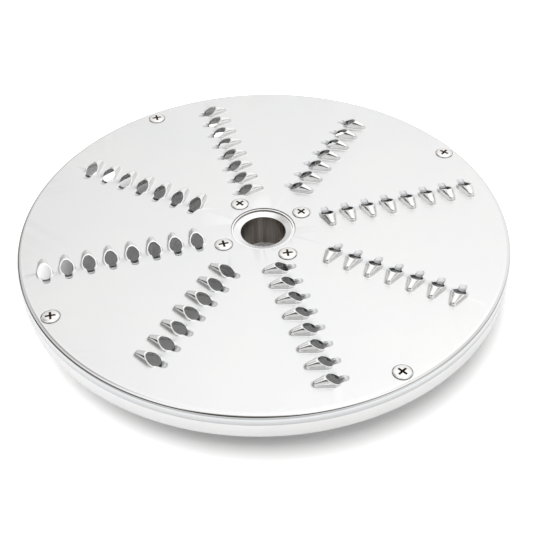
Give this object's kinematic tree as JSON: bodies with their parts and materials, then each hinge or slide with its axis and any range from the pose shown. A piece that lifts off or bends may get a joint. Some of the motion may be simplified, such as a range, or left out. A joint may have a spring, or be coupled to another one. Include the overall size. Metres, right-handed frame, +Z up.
{
  "type": "food processor grating disc",
  "caption": "Round grating disc for a food processor: a pressed steel plate with rows of raised teeth, screwed to a cast ring with arms and a bored hub.",
  "frame": {"origin": "centre of the shaft bore at the foot of the hub", "axes": "+Z up along the shaft bore, out of the toothed face; the casting's arms and the screws lie on +X, +Y, -X and -Y"},
  "size_m": [0.205, 0.205, 0.0204],
  "materials": {
    "plate_steel": "polished stainless sheet",
    "cast_aluminium": "satin, turned outside",
    "hub_steel": "turned",
    "screw_steel": "bright"
  },
  "bodies": {
    "root": {"grating_plate": "plate_steel", "base_casting": "cast_aluminium", "hub_bushing": "hub_steel", "rim_screws": "screw_steel", "hub_screws": "screw_steel"}
  },
  "joints": []
}
